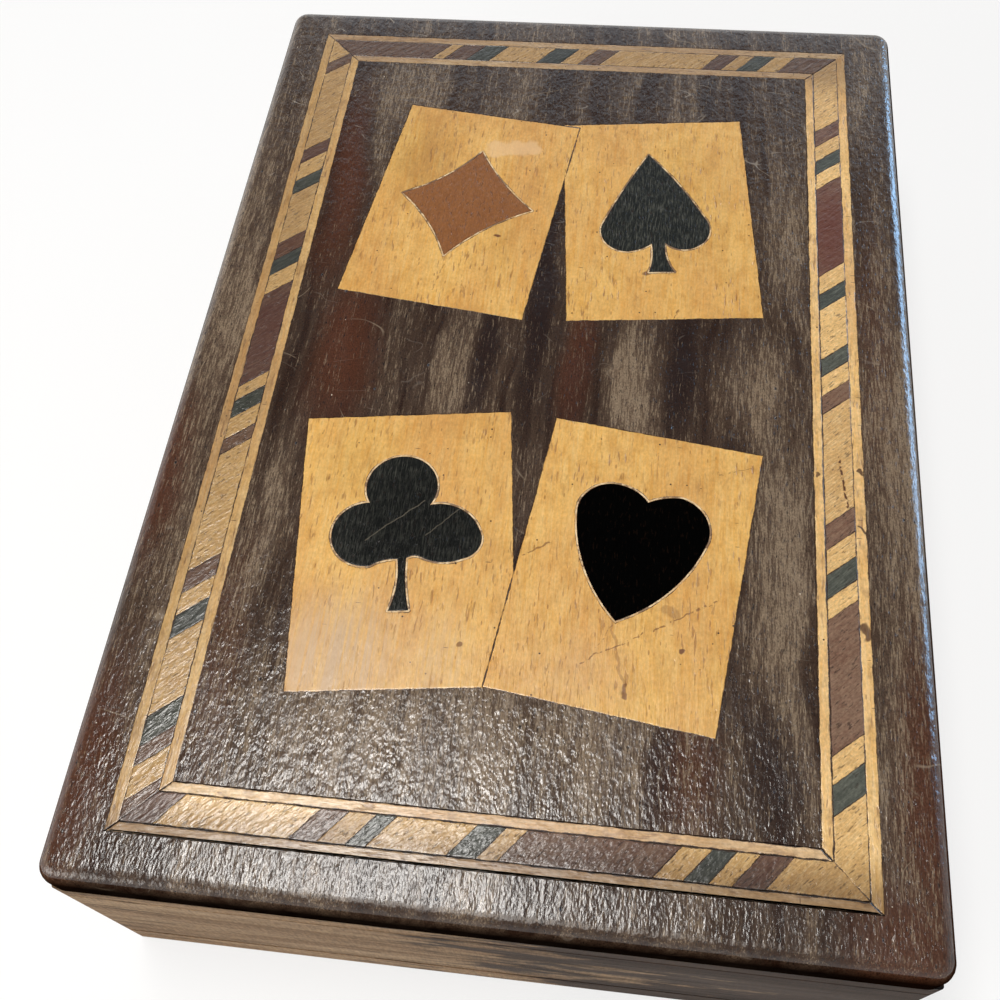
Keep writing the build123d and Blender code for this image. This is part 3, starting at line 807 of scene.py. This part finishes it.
def wear_rim(piece, grow):
    """Lets the piece out to close its joint, then rounds its upper rim down and marks it for stains."""
    work = bmesh.new()
    work.from_mesh(piece.data)
    work.normal_update()
    mark = work.verts.layers.float.new("rim")
    let_out(work, grow)
    tops, rim = drawn_in(work, RIM_WIDTH)
    for corner in rim:
        corner[mark] = 1.0
        corner.co.z -= RIM_DROP
    for corner in {corner for face in tops for corner in face.verts}:
        corner[mark] = 0.0
    work.normal_update()
    _, rim = drawn_in(work, RIM_WIDTH * 0.25)
    for corner in rim:
        corner.co.z -= RIM_DROP
    work.to_mesh(piece.data)
    work.free()


def hand_over(piece, node):
    """Puts the piece on the box in place of a node of the model."""
    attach(piece, "box")
    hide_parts(node)


VENEER = veneer_tree()


def inlay(node, wood, seed, wander=0.05, tilt=0.004, drop=0.04, grow=0.03):
    """Replaces an inlay of the model with a hand-sawn one of the same outline. All but the tilt, a
    slope, is in mm."""
    piece = merged_copy(node, node + "_inlay")
    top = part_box(node)[1].z
    sizes = {"Wander": wander * MM, "Top": top, "Tilt": tilt, "Drop": drop * MM, "Seed": seed}
    apply_tree(piece, VENEER, Wood=WOOD[wood], **sizes)
    piece.data.materials.clear()
    piece.data.materials.append(WOOD[wood])
    wear_rim(piece, grow * MM)
    hand_over(piece, node)


def dress(node, wood):
    """Gives a node of the model its only material."""
    NODES[node].data.materials.clear()
    NODES[node].data.materials.append(WOOD[wood])


# How far a line of the banding is let out to close its joints, in mm. Less than nothing leaves
# them open.
CLOSED = 0.07
OPEN_LINES = {("outer", "near"): -0.08, ("inner", "near"): -0.05, ("inner", "right"): -0.02}


def banding():
    """The pale lines and the slanted blocks between them, on all four sides."""
    for number, side in enumerate(SIDES):
        grain = "line_x" if side in ("near", "far") else "line_y"
        for line in ("outer", "inner"):
            grow = OPEN_LINES.get((line, side), CLOSED)
            node = f"stringing_{line}_{side}"
            inlay(node, grain, 10 + number, wander=0.09, tilt=0.0, grow=grow)
        for wood in ("pale", "brown", "dark"):
            inlay(f"band_{side}_{wood}", wood, 20 + number, wander=0.08, grow=CLOSED)


# The wood and the slot of each suit mark.
MARK_WOOD = {
    "diamond": ("diamond", "diamond_wood"),
    "spade": ("black", "black_mark_wood"),
    "club": ("black", "black_mark_wood"),
    "heart": ("heart", "heart_wood"),
}


def cards():
    """The four cards, their suit marks and the filler round each."""
    for number, suit in enumerate(SUITS):
        wood, slot = MARK_WOOD[suit]
        inlay(f"card_{suit}", "card", 40 + number, wander=0.04, tilt=0.0)
        inlay(f"mark_{suit}", wood, 50 + number, wander=0.03, tilt=0.0)
        dress(f"filler_{suit}", "filler")


# ---- boards of the box and drawer ----------------------------------------------------

SHOULDER = 0.66                  # least Z of the normal of a face that still has its varnish
CREASE = math.radians(30.0)      # edges that turn more than this stay sharp
TOP_SLOT, EDGE_SLOT = 0, 1


def lid():
    """The top board again, varnished above and bare where its side turns down."""
    board = merged_copy("top_board", "lid_board")
    board.data.materials.clear()
    board.data.materials.append(WOOD["top"])
    board.data.materials.append(WOOD["edge"])
    work = bmesh.new()
    work.from_mesh(board.data)
    for face in work.faces:
        face.smooth = True
        face.material_index = EDGE_SLOT if face.normal.z < SHOULDER else TOP_SLOT
    for edge in work.edges:
        edge.smooth = len(edge.link_faces) == 2 and edge.calc_face_angle() < CREASE
    work.to_mesh(board.data)
    work.free()
    hand_over(board, "top_board")


BOARDS = {
    "upper_board": "carcass_x", "base_board": "carcass_x", "back_panel": "carcass_x",
    "side_left": "carcass_y", "side_right": "carcass_y", "drawer_front": "front",
    "drawer_side_left": "drawer_y", "drawer_side_right": "drawer_y", "drawer_back": "drawer_x",
    "drawer_floor": "drawer_y", "drawer_divider": "drawer_x",
}

banding()
cards()
lid()
for node, wood in BOARDS.items():
    dress(node, wood)


# ---- table, light and camera -----------------------------------------------------------

WHITE = (1.0, 1.0, 1.0, 1.0)
FLOOR_RADIUS = 6.0
FLOOR_CLEAN = (0.12, 0.60)       # distance from the middle over which the floor turns plain white


def seen_directly(g):
    """One for the rays that show the background: the camera's, and those off gloss and through glass."""
    path = g.node("ShaderNodeLightPath").outputs
    return strongest(g, [path["Is Camera Ray"], path["Is Glossy Ray"], path["Is Transmission Ray"]])


def pale_floor():
    """A plain table top under the box, wide enough for any view, that is seen as white."""
    material, g = new_material("pale_table")
    seen = seen_directly(g)
    grey = g.mix(seen, (0.30, 0.30, 0.30, 1.0), (0.95, 0.95, 0.95, 1.0))
    matt = g.add("ShaderNodeBsdfDiffuse", {"Color": grey})
    glow = g.add("ShaderNodeEmission", {"Color": WHITE, "Strength": 1.0})
    spot = g.vector("MULTIPLY", g.add("ShaderNodeTexCoord", output="Object"), (1.0, 1.0, 0.0))
    clean = g.between(g.measure("LENGTH", spot), *FLOOR_CLEAN, 0.72, 1.0)
    shader = g.add("ShaderNodeMixShader", {0: g.math("MULTIPLY", seen, clean), 1: matt, 2: glow})
    g.node("ShaderNodeOutputMaterial", {"Surface": shader})
    bpy.ops.mesh.primitive_circle_add(
        vertices=96, radius=FLOOR_RADIUS, fill_type="NGON", location=(0.0, 0.0, 0.0))
    floor = bpy.context.object
    floor.name = "table"
    floor.data.materials.append(material)


def room():
    """A plain white room under a dimmer ceiling, cooler towards the far side."""
    world = bpy.data.worlds.new("room")
    bpy.context.scene.world = world
    world.use_nodes = True
    world.node_tree.nodes.clear()
    g = Graph(world.node_tree)
    across, away, upward = g.axes(g.add("ShaderNodeTexCoord", output="Generated"))
    near_side = g.between(upward, 0.05, 0.6, 0.08, 0.45)
    far_side = g.between(upward, 0.25, 0.80, 0.50, 0.15)
    far_share = g.between(away, -0.2, 0.4)
    level = g.linear(far_share, 0.0, 1.0, near_side, far_side)
    level = g.math("MULTIPLY", level, g.between(across, -0.7, 0.1, 0.5, 1.0))
    tint = g.mix(far_share, (1.0, 0.96, 0.90, 1.0), (0.92, 0.96, 1.0, 1.0))
    ceiling = g.between(upward, 0.38, 0.60)
    backdrop = g.add("ShaderNodeBackground", {
        "Color": g.mix(ceiling, WHITE, tint),
        "Strength": g.linear(ceiling, 0.0, 1.0, 1.0, level),
    })
    dimmer = g.between(upward, 0.0, 0.7, 0.85, 0.22)
    soft = g.add("ShaderNodeBackground", {"Color": tint, "Strength": dimmer})
    both = g.add("ShaderNodeMixShader", {0: seen_directly(g), 1: soft, 2: backdrop})
    g.node("ShaderNodeOutputWorld", {"Surface": both})


# Rectangular lights: place, what it faces, size, radiance, colour, and whether it shows in gloss only.
LIGHTS = {
    "ceiling_light": (
        (-0.12, -0.012, 0.62), (-0.01, -0.03, 0.04), (0.22, 0.115), 30.0, (1.0, 0.975, 0.94), False),
    "front_light": (
        (-0.30, -0.30, 0.20), (-0.03, -0.08, 0.02), (0.24, 0.18), 6.0, (1.0, 0.97, 0.92), False),
    "near_panel": (
        (-0.048, -0.20, 0.45), (-0.03, -0.077, 0.04), (0.19, 0.19), 6.0, (1.0, 0.96, 0.90), True),
    "far_window": (
        (0.05, 0.80, 0.40), (0.0, 0.07, 0.04), (0.80, 0.46), 0.8, (0.72, 0.86, 1.0), True),
    "right_window": (
        (0.62, 0.42, 0.22), (0.05, 0.02, 0.04), (0.50, 0.26), 12.0, (0.33, 0.62, 1.0), True),
}


def area_light(name, place, aim, size, radiance, colour, gloss_only):
    light = bpy.data.lights.new(name, "AREA")
    light.shape = "RECTANGLE"
    light.size, light.size_y = size
    light.energy = radiance * math.pi * size[0] * size[1]
    light.color = colour
    made = bpy.data.objects.new(name, light)
    made.location = place
    made.rotation_euler = (Vector(aim) - Vector(place)).to_track_quat("-Z", "Y").to_euler()
    made.visible_camera = False
    made.visible_diffuse = not gloss_only
    bpy.context.scene.collection.objects.link(made)


CAMERA_PLACE = (0.01131, -0.09911, 0.17697)
CAMERA_TURN = (29.902, 2.606, 6.593)         # degrees
CAMERA_LENS = 41.50                          # mm
CAMERA_SENSOR = 36.0                         # mm across
CAMERA_NEAREST = 0.005


def photo_camera():
    data = bpy.data.cameras.new("camera")
    data.lens = CAMERA_LENS
    data.sensor_width = CAMERA_SENSOR
    data.clip_start = CAMERA_NEAREST
    camera = bpy.data.objects.new("camera", data)
    camera.location = CAMERA_PLACE
    camera.rotation_euler = [math.radians(angle) for angle in CAMERA_TURN]
    bpy.context.scene.collection.objects.link(camera)
    bpy.context.scene.camera = camera


pale_floor()
room()
for name, settings in LIGHTS.items():
    area_light(name, *settings)
photo_camera()

bpy.context.scene.view_settings.view_transform = "Standard"
